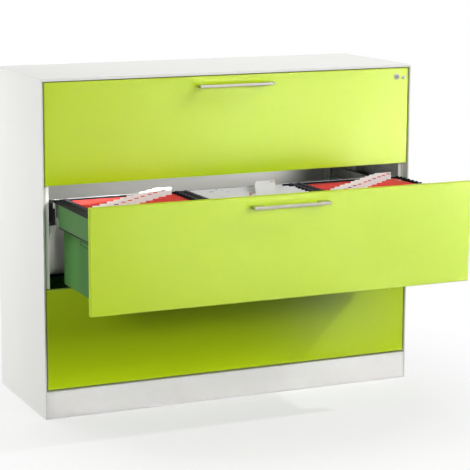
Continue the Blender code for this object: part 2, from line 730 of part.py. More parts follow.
def build_carcass(paints, root):
    white, grey, zinc = paints["white_paint"], paints["light_grey_paint"], paints["zinc_plate"]
    for side, where in ((-1, "left"), (1, "right")):
        side_panel(side, white, root)
        upright(f"upright_front_{where}", side, INSIDE_FRONT, INSIDE_FRONT + UPRIGHT_WIDTH, grey, root)
        rear = INSIDE_BACK - GAP
        upright(f"upright_rear_{where}", side, rear - REAR_UPRIGHT_WIDTH, rear, grey, root)
        for depth, end in ((FOOT_INSET_Y, "front"), (CABINET_DEPTH - FOOT_INSET_Y, "rear")):
            levelling_foot(f"levelling_foot_{end}_{where}", side * (HALF_WIDTH - FOOT_INSET_X), depth,
                           paints["black_plastic"], root)
        for level in range(len(DRAWERS)):
            runner_fixed(level, side, zinc, root)
    top_panel(white, root)
    back_panel(grey, root)
    floor_panel(grey, root)
    plinth_front(white, root)
    plinth_rear(white, root)
    lock_strike(zinc, root)
    for level in range(len(DRAWERS)):
        interlock_guide(level, grey, root)
    interlock_bar(zinc, empty("interlock_slide", (0, 0, 0), root))


def build_drawer(level, paints, root):
    name = DRAWERS[level]
    slide = empty(f"slide_{name}", (0, -OPENING[name], 0), root)
    half_way = empty(f"half_slide_{name}", (0, -OPENING[name] / 2, 0), root)
    drawer_front(level, paints["green_paint"], slide)
    drawer_liner(level, paints["green_paint"], slide)
    drawer_tray(level, paints["dark_green_paint"], slide)
    file_rails(level, paints["black_plastic"], slide)
    handle(level, paints["satin_nickel"], slide)
    for side in (-1, 1):
        runner_inner(level, side, paints["zinc_plate"], slide)
        runner_middle(level, side, paints["zinc_plate"], half_way)
    if name == "top":
        lock_housing(paints["satin_nickel"], slide)
        lock_stud(paints["satin_nickel"], slide)
        axis = empty("lock_axis", (LOCK_X, 0, LOCK_Z), slide)
        lock_barrel(paints["satin_nickel"], axis)
        lock_cam(paints["zinc_plate"], axis)
    if name == "middle":
        for number, cover in enumerate(FILE_COVERS):
            hanging_files(number, paints[cover], slide)


def main():
    clear_scene()
    paints = {name: material(name, *finish) for name, finish in FINISHES.items()}
    root = empty("cabinet", (0, CARCASS_FRONT, 0))
    build_carcass(paints, root)
    for level in range(len(DRAWERS)):
        build_drawer(level, paints, root)


main()
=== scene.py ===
"""Lateral filing cabinet: white carcass, three green drawers, the middle one open and full of files."""

import math
import random

import bmesh
import bpy
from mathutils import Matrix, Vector


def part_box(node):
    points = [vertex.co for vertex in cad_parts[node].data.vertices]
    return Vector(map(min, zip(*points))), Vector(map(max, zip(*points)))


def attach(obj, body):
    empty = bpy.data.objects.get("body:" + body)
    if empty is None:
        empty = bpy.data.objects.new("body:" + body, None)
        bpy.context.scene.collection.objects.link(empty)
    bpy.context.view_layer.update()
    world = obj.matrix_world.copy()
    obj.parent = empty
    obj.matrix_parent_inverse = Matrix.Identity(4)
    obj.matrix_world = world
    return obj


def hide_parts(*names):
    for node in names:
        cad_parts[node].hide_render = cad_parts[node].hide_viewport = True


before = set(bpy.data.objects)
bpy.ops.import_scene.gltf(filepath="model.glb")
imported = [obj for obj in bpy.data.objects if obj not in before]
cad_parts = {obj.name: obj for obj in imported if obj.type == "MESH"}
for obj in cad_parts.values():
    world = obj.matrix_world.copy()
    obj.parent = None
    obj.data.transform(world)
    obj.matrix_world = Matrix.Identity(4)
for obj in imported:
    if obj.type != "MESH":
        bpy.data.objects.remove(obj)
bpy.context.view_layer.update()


# ---------------------------------------------------------------- node helpers

def node_group(name, inputs, outputs):
    """An empty shader group with its sockets, and the nodes where they start and end."""
    group = bpy.data.node_groups.new(name, "ShaderNodeTree")
    for label, kind, value in inputs:
        socket = group.interface.new_socket(label, in_out="INPUT", socket_type=kind)
        if value is not None:
            socket.default_value = value
    for label, kind in outputs:
        group.interface.new_socket(label, in_out="OUTPUT", socket_type=kind)
    return group, group.nodes.new("NodeGroupInput"), group.nodes.new("NodeGroupOutput")


def add_node(tree, kind, links=None, **settings):
    """A node with its settings, and with each named or numbered input linked or set."""
    made = tree.nodes.new(kind)
    for key, value in settings.items():
        setattr(made, key, value)
    for key, value in (links or {}).items():
        if isinstance(value, bpy.types.NodeSocket):
            tree.links.new(value, made.inputs[key])
        else:
            made.inputs[key].default_value = value
    return made


def maths(tree, operation, first, second=None, clamp=False):
    links = {0: first} if second is None else {0: first, 1: second}
    return add_node(tree, "ShaderNodeMath", links, operation=operation, use_clamp=clamp).outputs[0]


def blend_colours(tree, amount, first, second, way="MIX"):
    links = {0: amount, 6: first, 7: second}
    return add_node(tree, "ShaderNodeMix", links, data_type="RGBA", blend_type=way).outputs[2]


def from_to(tree, value, low, high, start=0.0, end=1.0):
    """The value between low and high spread over start to end, and held there outside them."""
    links = {0: value, 1: low, 2: high, 3: start, 4: end}
    return add_node(tree, "ShaderNodeMapRange", links, clamp=True).outputs[0]


def place_of(tree):
    return add_node(tree, "ShaderNodeTexCoord").outputs["Object"]


def noise(tree, place, scale, detail=2.0, roughness=0.5, distortion=0.0):
    links = {"Vector": place, "Scale": scale, "Detail": detail, "Roughness": roughness, "Distortion": distortion}
    return add_node(tree, "ShaderNodeTexNoise", links).outputs[0]


def stretched(tree, place, scale):
    """Coordinates with one scale for each axis, for grain and brushing."""
    return add_node(tree, "ShaderNodeVectorMath", {0: place, 1: scale}, operation="MULTIPLY").outputs[0]


# ---------------------------------------------------------------- shared effects

def powder_coat_group():
    """The fine orange peel of baked powder, its faint clouding and its patches of sheen."""
    group, start, end = node_group(
        "powder_coat",
        [("Grain Size", "NodeSocketFloat", 700.0), ("Cloud Size", "NodeSocketFloat", 3.0)],
        [("Height", "NodeSocketFloat"), ("Cloud", "NodeSocketFloat"), ("Sheen Patch", "NodeSocketFloat")])
    place = place_of(group)
    fine = noise(group, place, start.outputs["Grain Size"], 2.0, 0.55)
    broad = noise(group, place, maths(group, "MULTIPLY", start.outputs["Grain Size"], 0.22), 2.0)
    height = maths(group, "ADD", maths(group, "MULTIPLY", fine, 0.6), maths(group, "MULTIPLY", broad, 0.4))
    cloud = noise(group, place, start.outputs["Cloud Size"], 3.0, 0.6)
    patch = noise(group, place, maths(group, "MULTIPLY", start.outputs["Cloud Size"], 2.7), 3.0, 0.6, 0.4)
    group.links.new(height, end.inputs["Height"])
    group.links.new(from_to(group, cloud, 0.3, 0.7), end.inputs["Cloud"])
    group.links.new(from_to(group, patch, 0.3, 0.7), end.inputs["Sheen Patch"])
    return group


def edge_wear_and_highlight_group():
    """A mask of the outer edges of the metal and other parts, broken up where hands and cleaning rub them; it
    places rubbed wear, and on the powder coat a painted highlight.
    """
    group, start, end = node_group(
        "edge_wear",
        [("Reach", "NodeSocketFloat", 0.001), ("Broken", "NodeSocketFloat", 0.5)],
        [("Edge", "NodeSocketFloat"), ("Wear And Highlight", "NodeSocketFloat"), ("Normal", "NodeSocketVector")])
    rounded = add_node(group, "ShaderNodeBevel", {0: start.outputs["Reach"]}, samples=6)
    flat = add_node(group, "ShaderNodeNewGeometry").outputs["Normal"]
    turn = add_node(group, "ShaderNodeVectorMath", {0: rounded.outputs[0], 1: flat},
                    operation="DOT_PRODUCT").outputs["Value"]
    edge = from_to(group, turn, 0.995, 0.90)
    rubbed = from_to(group, noise(group, place_of(group), 34.0, 4.0, 0.65), 0.48, 0.72)
    kept = maths(group, "SUBTRACT", 1.0, maths(group, "MULTIPLY", start.outputs["Broken"],
                                                maths(group, "SUBTRACT", 1.0, rubbed)))
    group.links.new(edge, end.inputs["Edge"])
    group.links.new(maths(group, "MULTIPLY", edge, kept), end.inputs["Wear And Highlight"])
    group.links.new(rounded.outputs[0], end.inputs["Normal"])
    return group


def settled_dust_group():
    """Dust lies only on faces that look up."""
    group, start, end = node_group(
        "settled_dust",
        [("Amount", "NodeSocketFloat", 0.2)],
        [("Dust", "NodeSocketFloat")])
    normal = add_node(group, "ShaderNodeNewGeometry").outputs["Normal"]
    up = add_node(group, "ShaderNodeSeparateXYZ", {0: normal}).outputs["Z"]
    place = place_of(group)
    specks = from_to(group, noise(group, place, 260.0, 3.0, 0.7), 0.45, 0.75)
    drift = from_to(group, noise(group, place, 7.0, 4.0, 0.6), 0.35, 0.75)
    lying = maths(group, "MULTIPLY", from_to(group, up, 0.6, 0.95), maths(group, "MULTIPLY", specks, drift))
    group.links.new(maths(group, "MULTIPLY", lying, start.outputs["Amount"]), end.inputs["Dust"])
    return group


def brushed_metal_group():
    """Lines left by rolling or brushing along one way of the metal."""
    group, start, end = node_group(
        "brushed_metal",
        [("Line Scale", "NodeSocketVector", (6.0, 900.0, 900.0)), ("Blotch Size", "NodeSocketFloat", 40.0)],
        [("Height", "NodeSocketFloat"), ("Line", "NodeSocketFloat"), ("Blotch", "NodeSocketFloat")])
    place = place_of(group)
    lines = noise(group, stretched(group, place, start.outputs["Line Scale"]), 1.0, 3.0, 0.6)
    blotch = noise(group, place, start.outputs["Blotch Size"], 3.0, 0.6, 0.6)
    group.links.new(lines, end.inputs["Height"])
    group.links.new(from_to(group, lines, 0.3, 0.7), end.inputs["Line"])
    group.links.new(from_to(group, blotch, 0.35, 0.7), end.inputs["Blotch"])
    return group


def card_fibre_group():
    """Short fibres pressed into card, and the paler rub along folds and corners."""
    group, start, end = node_group(
        "card_fibre",
        [("Fibre Size", "NodeSocketFloat", 600.0)],
        [("Height", "NodeSocketFloat"), ("Fibre", "NodeSocketFloat"), ("Rubbed", "NodeSocketFloat")])
    place = place_of(group)
    fibre = noise(group, stretched(group, place, (0.35, 1.0, 1.0)), start.outputs["Fibre Size"], 3.0, 0.7, 0.8)
    specks = noise(group, place, maths(group, "MULTIPLY", start.outputs["Fibre Size"], 0.4), 2.0)
    rubbed = noise(group, place, 18.0, 4.0, 0.65)
    group.links.new(maths(group, "ADD", maths(group, "MULTIPLY", fibre, 0.7),
                          maths(group, "MULTIPLY", specks, 0.3)), end.inputs["Height"])
    group.links.new(from_to(group, fibre, 0.35, 0.65), end.inputs["Fibre"])
    group.links.new(from_to(group, rubbed, 0.4, 0.75), end.inputs["Rubbed"])
    return group


def hand_marks_group():
    """Soft smudges where hands reach, stronger round one place."""
    group, start, end = node_group(
        "hand_marks",
        [("Middle", "NodeSocketVector", (0.0, 0.0, 0.5)), ("Spread", "NodeSocketFloat", 0.3)],
        [("Smudge", "NodeSocketFloat")])
    place = place_of(group)
    away = add_node(group, "ShaderNodeVectorMath", {0: place, 1: start.outputs["Middle"]},
                    operation="DISTANCE").outputs["Value"]
    near = maths(group, "SUBTRACT", 1.0, maths(group, "DIVIDE", away, start.outputs["Spread"]), clamp=True)
    touch = from_to(group, noise(group, stretched(group, place, (1.0, 1.0, 2.2)), 24.0, 3.0, 0.55, 0.7), 0.5, 0.8)
    group.links.new(maths(group, "MULTIPLY", near, touch), end.inputs["Smudge"])
    return group


POWDER_COAT = powder_coat_group()
EDGE_WEAR_AND_HIGHLIGHT = edge_wear_and_highlight_group()
SETTLED_DUST = settled_dust_group()
BRUSHED_METAL = brushed_metal_group()
CARD_FIBRE = card_fibre_group()
HAND_MARKS = hand_marks_group()


def effect(tree, group, **values):
    """One shared effect placed in a material, with its own values."""
    made = tree.nodes.new("ShaderNodeGroup")
    made.node_tree = group
    for key, value in values.items():
        made.inputs[key.replace("_", " ")].default_value = value
    return made.outputs


def new_material(name):
    made = bpy.data.materials.new(name)
    made.use_nodes = True
    return made, made.node_tree, made.node_tree.nodes["Principled BSDF"]


def rgb(colour):
    return (*colour, 1.0)


def varied_roughness(tree, shader, base, *changes):
    """The roughness, moved up or down by each mask."""
    value = base
    for mask, change in changes:
        value = maths(tree, "ADD", maths(tree, "MULTIPLY", mask, change), value)
    tree.links.new(value, shader.inputs["Roughness"])


def raised_normal(tree, shader, height, depth, strength=1.0, normal=None):
    links = {"Strength": strength, "Distance": depth, "Height": height}
    if normal is not None:
        links["Normal"] = normal
    made = add_node(tree, "ShaderNodeBump", links)
    tree.links.new(made.outputs[0], shader.inputs["Normal"])


# ---------------------------------------------------------------- finishes

def painted(name, colour, edge_highlight_colour, roughness, clouding=0.04, dust=0.12, edge=0.0012, specular=0.5,
            touched=None, broken=0.55):
    """Powder coat over sheet steel, with a painted highlight in a lighter colour along its edges."""
    made, tree, shader = new_material(name)
    coat = effect(tree, POWDER_COAT)
    wear_and_highlight = effect(tree, EDGE_WEAR_AND_HIGHLIGHT, Reach=edge, Broken=broken)
    fallen = effect(tree, SETTLED_DUST, Amount=dust)
    darker = rgb([c * (1 - clouding) for c in colour])
    lighter = rgb([min(1.0, c * (1 + clouding)) for c in colour])
    shade = blend_colours(tree, coat["Cloud"], darker, lighter)
    # Painted highlight: the lighter edge colour stands for light caught along the rounded edges.
    shade = blend_colours(tree, maths(tree, "MULTIPLY", wear_and_highlight["Wear And Highlight"], 0.7), shade, rgb(edge_highlight_colour))
    shade = blend_colours(tree, fallen["Dust"], shade, (0.62, 0.60, 0.56, 1.0))
    changes = [(coat["Sheen Patch"], 0.07), (wear_and_highlight["Wear And Highlight"], -0.08), (fallen["Dust"], 0.3)]
    if touched:
        marks = effect(tree, HAND_MARKS, Middle=touched[0], Spread=touched[1])
        changes.append((marks["Smudge"], -0.12))
        shade = blend_colours(tree, maths(tree, "MULTIPLY", marks["Smudge"], 0.10), shade,
                              rgb([c * 0.8 for c in colour]))
    tree.links.new(shade, shader.inputs["Base Color"])
    varied_roughness(tree, shader, roughness - 0.035, *changes)
    raised_normal(tree, shader, coat["Height"], 0.00012, 0.5, wear_and_highlight["Normal"])
    shader.inputs["Specular IOR Level"].default_value = specular
    return made


def metal(name, colour, roughness, line_scale, blotch=0.12):
    """Plated or satin metal, with the lines that rolling or brushing leaves."""
    made, tree, shader = new_material(name)
    brushed = effect(tree, BRUSHED_METAL, Line_Scale=line_scale)
    wear_and_highlight = effect(tree, EDGE_WEAR_AND_HIGHLIGHT, Reach=0.0006, Broken=0.35)
    darker = rgb([c * (1 - blotch) for c in colour])
    shade = blend_colours(tree, brushed["Blotch"], rgb(colour), darker)
    shade = blend_colours(tree, maths(tree, "MULTIPLY", brushed["Line"], 0.18), shade,
                          rgb([c * 0.7 for c in colour]))
    shade = blend_colours(tree, maths(tree, "MULTIPLY", wear_and_highlight["Wear And Highlight"], 0.6), shade,
                          rgb([min(1.0, c * 1.35) for c in colour]))
    tree.links.new(shade, shader.inputs["Base Color"])
    varied_roughness(tree, shader, roughness, (brushed["Line"], 0.10), (brushed["Blotch"], 0.08),
                     (wear_and_highlight["Wear And Highlight"], -0.10))
    raised_normal(tree, shader, brushed["Height"], 0.00005, 0.6, wear_and_highlight["Normal"])
    shader.inputs["Metallic"].default_value = 1.0
    return made


def moulded(name, colour, roughness, dust, specular=0.5):
    """Plastic with a fine spark-eroded grain."""
    made, tree, shader = new_material(name)
    skin = effect(tree, POWDER_COAT, Grain_Size=1500.0, Cloud_Size=8.0)
    wear_and_highlight = effect(tree, EDGE_WEAR_AND_HIGHLIGHT, Reach=0.0005, Broken=0.5)
    fallen = effect(tree, SETTLED_DUST, Amount=dust)
    shade = blend_colours(tree, skin["Cloud"], rgb([c * 0.85 for c in colour]), rgb([c * 1.15 for c in colour]))
    shade = blend_colours(tree, maths(tree, "MULTIPLY", wear_and_highlight["Wear And Highlight"], 0.5), shade,
                          rgb([min(1.0, c * 1.6 + 0.02) for c in colour]))
    shade = blend_colours(tree, fallen["Dust"], shade, (0.42, 0.41, 0.39, 1.0))
    tree.links.new(shade, shader.inputs["Base Color"])
    varied_roughness(tree, shader, roughness, (skin["Sheen Patch"], 0.12), (wear_and_highlight["Wear And Highlight"], -0.15))
    raised_normal(tree, shader, skin["Height"], 0.00006, 0.6, wear_and_highlight["Normal"])
    shader.inputs["Specular IOR Level"].default_value = specular
    return made


def card(name, colour, rubbed_colour, roughness=0.72, strength=0.05):
    """Uncoated card or paper, with fibres and a paler rub at its edges."""
    made, tree, shader = new_material(name)
    fibre = effect(tree, CARD_FIBRE)
    wear_and_highlight = effect(tree, EDGE_WEAR_AND_HIGHLIGHT, Reach=0.0008, Broken=0.6)
    shade = blend_colours(tree, fibre["Fibre"], rgb([c * (1 - strength) for c in colour]),
                          rgb([min(1.0, c * (1 + strength)) for c in colour]))
    shade = blend_colours(tree, maths(tree, "MULTIPLY", fibre["Rubbed"], 0.12), shade, rgb(rubbed_colour))
    shade = blend_colours(tree, maths(tree, "MULTIPLY", wear_and_highlight["Wear And Highlight"], 0.5), shade, rgb(rubbed_colour))
    tree.links.new(shade, shader.inputs["Base Color"])
    varied_roughness(tree, shader, roughness, (fibre["Fibre"], 0.08))
    raised_normal(tree, shader, fibre["Height"], 0.0001, 0.5)
    shader.inputs["Specular IOR Level"].default_value = 0.3
    return made


LEVELS = ("bottom", "middle", "top")
SIDES = {"left": -1, "right": 1}
HANDLE_LOW, HANDLE_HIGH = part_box("drawer_handle_top")
TOP_HANDLE = (HANDLE_LOW + HANDLE_HIGH) / 2

GREEN = (0.515, 0.71, 0.006)
FINISH = {
    # Each paint's second colour is a painted highlight along its edges.
    "white_paint": painted("white_paint", (0.86, 0.86, 0.83), (0.93, 0.93, 0.91), 0.42, 0.012, dust=0.05),
    "light_grey_paint": painted("light_grey_paint", (0.56, 0.55, 0.51), (0.68, 0.67, 0.64), 0.48, 0.03),
    "green_paint": painted("green_paint", GREEN, (0.90, 1.0, 0.30), 0.40, 0.015, dust=0.05, specular=0.05,
                           touched=(tuple(TOP_HANDLE), 0.35), edge=0.0028, broken=0.2),
    "dark_green_paint": painted("dark_green_paint", (0.070, 0.188, 0.050), (0.13, 0.32, 0.10), 0.5, 0.06,
                                dust=0.04, specular=0.08),
    # Near-black green for the cable slots' outlines: painted shade.
    "slot_shade_green": painted("slot_shade_green", (0.006, 0.022, 0.010), (0.02, 0.05, 0.02), 0.6, 0.06, dust=0.0,
                          specular=0.05),
    "black_plastic": moulded("black_plastic", (0.010, 0.010, 0.013), 0.55, dust=0.05, specular=0.1),
    "grey_plastic": moulded("grey_plastic", (0.075, 0.066, 0.090), 0.5, dust=0.1, specular=0.2),
    # A paler grey for the back panel's folds: a painted highlight.
    "fold_highlight_grey": painted("fold_highlight_grey", (0.80, 0.79, 0.76), (0.88, 0.87, 0.85), 0.45, 0.02, dust=0.05),
    "zinc_plate": metal("zinc_plate", (0.60, 0.60, 0.60), 0.30, (900.0, 8.0, 900.0), 0.2),
    "satin_nickel": metal("satin_nickel", (0.50, 0.47, 0.43), 0.26, (6.0, 700.0, 700.0)),
    "red_card": card("red_card", (0.80, 0.055, 0.040), (0.90, 0.30, 0.24)),
    "dark_card": card("dark_card", (0.02, 0.025, 0.035), (0.10, 0.11, 0.13)),
    "white_card": card("white_card", (0.90, 0.90, 0.89), (0.80, 0.79, 0.76), 0.6, 0.02),
    "cream_paper": card("cream_paper", (0.78, 0.76, 0.70), (0.66, 0.62, 0.54), 0.75, 0.04),
    "red_ink": card("red_ink", (0.75, 0.05, 0.03), (0.85, 0.35, 0.30), 0.5),
    "violet_ink": card("violet_ink", (0.30, 0.03, 0.14), (0.5, 0.2, 0.3), 0.5),
    "black_ink": card("black_ink", (0.01, 0.01, 0.015), (0.06, 0.06, 0.07), 0.5),
    "white_plastic": moulded("white_plastic", (0.88, 0.88, 0.87), 0.4, dust=0.05),
}


def soft_shading_group():
    """Joins a mesh's split corners and shades it smooth wherever it turns by less than the angle."""
    group = bpy.data.node_groups.new("soft_shading", "GeometryNodeTree")
    group.interface.new_socket("Geometry", in_out="INPUT", socket_type="NodeSocketGeometry")
    group.interface.new_socket("Geometry", in_out="OUTPUT", socket_type="NodeSocketGeometry")
    start, end = group.nodes.new("NodeGroupInput"), group.nodes.new("NodeGroupOutput")
    joined = add_node(group, "GeometryNodeMergeByDistance", {"Geometry": start.outputs[0], "Distance": 0.00001})
    whole = add_node(group, "GeometryNodeSetShadeSmooth",
                     {"Geometry": joined.outputs[0], "Shade Smooth": True}, domain="FACE")
    angle = add_node(group, "GeometryNodeInputMeshEdgeAngle").outputs[0]
    sharp = add_node(group, "FunctionNodeCompare", {0: angle, 1: math.radians(38)}, operation="GREATER_THAN")
    edges = add_node(group, "GeometryNodeSetShadeSmooth",
                     {"Geometry": whole.outputs[0], "Selection": sharp.outputs[0], "Shade Smooth": False},
                     domain="EDGE")
    group.links.new(edges.outputs[0], end.inputs[0])
    return group


SOFT_SHADING = soft_shading_group()


def dress_cad_nodes():
    """Each solid gets its finish by its slot's name, and soft shading."""
    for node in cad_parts.values():
        for held in node.material_slots:
            held.material = FINISH[held.material.name.split(".")[0]]
        shading = node.modifiers.new("soft shading", "NODES")
        shading.node_group = SOFT_SHADING
        level = node.modifiers.new("level flat faces", "WEIGHTED_NORMAL")
        level.mode = "FACE_AREA"
        level.weight = 100
        level.keep_sharp = True


# ---------------------------------------------------------------- mesh helpers

TURNED_TO = {"X": lambda a, b, c: (c, a, b), "Y": lambda a, b, c: (a, c, b), "Z": lambda a, b, c: (a, b, c)}


def add_block(shape, low, high, finish=0):
    """A box from its lowest corner to its highest."""
    made = bmesh.ops.create_cube(shape, size=1.0)["verts"]
    for vertex in made:
        for axis in range(3):
            vertex.co[axis] = high[axis] if vertex.co[axis] > 0 else low[axis]
    for face in {face for vertex in made for face in vertex.link_faces}:
        face.material_index = finish
    return made


def add_prism(shape, outline, axis, low, high, finish=0):
    """A flat outline drawn out along an axis. Its points are the other two axes, in order."""
    place = TURNED_TO[axis]
    near = [shape.verts.new(place(a, b, low)) for a, b in outline]
    far = [shape.verts.new(place(a, b, high)) for a, b in outline]
    faces = [shape.faces.new(near), shape.faces.new(far)]
    for i in range(len(outline)):
        j = (i + 1) % len(outline)
        faces.append(shape.faces.new((near[i], near[j], far[j], far[i])))
    for face in faces:
        face.material_index = finish
    return near + far


def add_turned(shape, profile, centre, axis, sides=24, finish=0):
    """A solid of revolution from (radius, place along the axis)."""
    turn = TURNED_TO[axis]
    rings = []
    for radius, along in profile:
        ring = []
        for i in range(sides if radius > 0 else 1):
            angle = 2 * math.pi * i / sides
            point = turn(radius * math.cos(angle), radius * math.sin(angle), along)
            ring.append(shape.verts.new([p + c for p, c in zip(point, centre)]))
        rings.append(ring)
    for first, second in zip(rings, rings[1:]):
        for i in range(sides):
            j = (i + 1) % sides
            around = ((first, i), (first, j), (second, j), (second, i))
            corners = list(dict.fromkeys(ring[k % len(ring)] for ring, k in around))
            shape.faces.new(corners).material_index = finish


def finished(name, shape, finishes, body, soften=0.0, thickness=0.0, replaces=()):
    """The piece as an object: its finishes, rounded edges and soft shading, riding on its body."""
    bmesh.ops.recalc_face_normals(shape, faces=shape.faces)
    mesh = bpy.data.meshes.new(name)
    shape.to_mesh(mesh)
    shape.free()
    for finish in finishes:
        mesh.materials.append(FINISH[finish])
    made = bpy.data.objects.new(name, mesh)
    bpy.context.scene.collection.objects.link(made)
    if thickness:
        thicken = made.modifiers.new("thickness", "SOLIDIFY")
        thicken.thickness = thickness
        thicken.offset = 0.0
    if soften:
        rounding = made.modifiers.new("soft edges", "BEVEL")
        rounding.width = soften
        rounding.segments = 2
        rounding.limit_method = "ANGLE"
        rounding.angle_limit = math.radians(40)
    mesh.shade_smooth()
    mesh.set_sharp_from_angle(angle=math.radians(38))
    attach(made, body)
    if replaces:
        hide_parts(*replaces)
    return made


# ---------------------------------------------------------------- hanging files

RAILS_LOW, RAILS_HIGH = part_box("file_rails_middle")
TRAY_LOW, TRAY_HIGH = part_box("drawer_tray_middle")
RAIL_TOP = RAILS_HIGH.z
BAY_EDGES = {"left": (-0.5260, -0.1905), "centre": (-0.1505, 0.1850), "right": (0.2250, 0.5605)}
CARD_ENDS = {"left": (-0.5120, -0.1925), "centre": (-0.1460, 0.1740), "right": (0.2330, 0.5525)}
TRAY_INSIDE = 0.5295
FILE_COUNT = 12
FILE_PITCH = 0.0235
FILE_OPEN = 0.0165
REAR_FILE = RAILS_HIGH.y - 0.012 - 0.0034
HEM_TOP = RAIL_TOP - 0.0034


def file_places():
    """Each file's place from the rear of the tray forwards."""
    return [REAR_FILE - i * FILE_PITCH for i in range(FILE_COUNT)]


def add_leaf(shape, x0, x1, top, bottom, belly, ripple, phase, finish=0):
    """One leaf of card from its top fold down to the file's crease, bellied and slightly rippled."""
    across, down = 10, 7
    rows = []
    for j in range(down + 1):
        t = j / down
        row = []
        for i in range(across + 1):
            s = i / across
            x = x0 + (x1 - x0) * s
            bulge = belly * math.sin(math.pi * t) + ripple * math.sin(5 * s + phase) * t * (1 - t) * 4
            y = top[0] + (bottom[0] - top[0]) * t ** 1.5 + bulge
            row.append(shape.verts.new((x, y, top[1] + (bottom[1] - top[1]) * t)))
        rows.append(row)
    for upper, lower in zip(rows, rows[1:]):
        for i in range(across):
            shape.faces.new((upper[i], upper[i + 1], lower[i + 1], lower[i])).material_index = finish


def add_hem(shape, x0, x1, y, low, high):
    """The card's top edge, folded round its bar and glued down."""
    outline = [(y - 0.0009, low), (y - 0.0012, high - 0.0016), (y - 0.0006, high), (y + 0.0006, high),
               (y + 0.0012, high - 0.0016), (y + 0.0009, low)]
    add_prism(shape, outline, "X", x0, x1)


def hanging_files(bay, cover):
    """A bay of suspension files: card pockets on two bars each, with papers inside."""
    pick = random.Random({"left": 3, "centre": 11, "right": 23}[bay])
    x0, x1 = CARD_ENDS[bay]
    inner = min(x1, TRAY_INSIDE)
    covers, hems, papers = bmesh.new(), bmesh.new(), bmesh.new()
    low = TRAY_LOW.z + 0.012
    for y in file_places():
        high = HEM_TOP - pick.uniform(0, 0.0010)
        bottom = (y - 0.010, low + pick.uniform(0, 0.004))
        ripple, phase = pick.uniform(0.0003, 0.001), pick.uniform(0, 6)
        for top_y, crease, belly in ((y, 0.0025, 0.002), (y - FILE_OPEN, -0.0025, -0.002)):
            add_leaf(covers, x0, inner, (top_y, high - 0.004), (bottom[0] + crease, bottom[1]),
                     belly, ripple, phase)
            add_hem(hems, x0, x1, top_y, TRAY_HIGH.z + 0.0004, high)
        for end in range(pick.choice((2, 3, 3, 4))):
            front = y - 0.0040 - 0.0028 * end - pick.uniform(0, 0.0006)
            inset = pick.uniform(0.002, 0.008)
            top = high - pick.uniform(0.012, 0.022)
            add_leaf(papers, x0 + inset, min(x0 + inset + 0.297, inner - 0.001), (front, top),
                     (bottom[0], bottom[1] + 0.004), 0.0006, 0.0004, phase + end)
    finished(f"file_covers_{bay}", covers, [cover], "drawer_middle", thickness=0.0005,
             replaces=[f"hanging_files_{bay}"])
    finished(f"file_hems_{bay}", hems, [cover], "drawer_middle", replaces=[f"hanging_files_{bay}"])
    finished(f"file_papers_{bay}", papers, ["cream_paper"], "drawer_middle", thickness=0.0009)


def add_bar(shape, stations, y0, y1, finish=0):
    """A flat bar through stations of (x, top, bottom)."""
    corners = [[shape.verts.new((x, y, z)) for y, z in ((y0, top), (y1, top), (y1, bottom), (y0, bottom))]
               for x, top, bottom in stations]
    faces = [corners[0], corners[-1]]
    for first, second in zip(corners, corners[1:]):
        faces += [(first[k], first[k - 1], second[k - 1], second[k]) for k in range(4)]
    for face in faces:
        shape.faces.new(face).material_index = finish


def hook_bars(bay):
    """A flat bar in each hem, cranked up at both ends to hook over the rails."""
    x0, x1 = BAY_EDGES[bay]
    card0, card1 = CARD_ENDS[bay]
    rest, bar = RAIL_TOP + 0.0003, HEM_TOP - 0.0030
    stations = ((x0 - 0.0105, rest + 0.0010, rest), (x0 - 0.0095, rest + 0.0028, rest),
                (x0 - 0.0020, rest + 0.0034, rest), (x0 + 0.0006, rest + 0.0026, rest - 0.0012),
                (card0, bar + 0.0016, bar), (card1, bar + 0.0016, bar),
                (x1 - 0.0006, rest + 0.0026, rest - 0.0012), (x1 + 0.0020, rest + 0.0034, rest),
                (x1 + 0.0048, rest + 0.0026, rest))
    shape = bmesh.new()
    for y in file_places():
        for front in (y, y - FILE_OPEN):
            add_bar(shape, stations, front - 0.0005, front + 0.0005)
            hooks = [(x0 - 0.0112, x0 - 0.0030)]
            if bay != "right":
                hooks.append((x1 + 0.0030, x1 + 0.0112))
            for near, far in hooks:
                add_block(shape, (near, front - 0.0022, rest), (far, front + 0.0022, rest + 0.0036), 1)
    finished(f"hook_bars_{bay}", shape, ["black_plastic", "grey_plastic"], "drawer_middle",
             soften=0.0002, replaces=[f"hanging_files_{bay}"])


def add_tab(shape, left, y, low, high, width, mark):
    """A white label card in its holder, with a printed mark near the right end."""
    add_prism(shape, [(left, low), (left + width, low), (left + width - 0.0008, high), (left + 0.0008, high)],
              "Y", y - 0.0006, y + 0.0002)
    if mark:
        x = left + width - 0.0160
        z = high - 0.0062
        add_block(shape, (x, y - 0.0009, z), (x + 0.0125, y - 0.0006, z + 0.0028), mark)


TAB_STEP = 0.0295
TAB_WIDTH = 0.060
TAB_RIGHT = {"left": -0.2025, "right": 0.5364}
TAB_TOP = RAIL_TOP + 0.0172
LABEL_FOOT = TRAY_HIGH.z + 0.0006


def label_tabs(bay):
    """The stepped row of tabs that stands on the files, one step further left on each file forwards."""
    shape = bmesh.new()
    pick = random.Random(5 if bay == "left" else 9)
    for i, y in enumerate(file_places()):
        left = TAB_RIGHT[bay] - TAB_WIDTH - TAB_STEP * (i % 10) + pick.uniform(-0.002, 0.002)
        high = TAB_TOP + pick.uniform(-0.0012, 0.0004)
        add_tab(shape, left, y - 0.0020, LABEL_FOOT, high, TAB_WIDTH, pick.choice((1, 1, 2)))
    finished(f"label_tabs_{bay}", shape, ["white_card", "red_ink", "violet_ink"], "drawer_middle",
             replaces=[f"hanging_files_{bay}"])


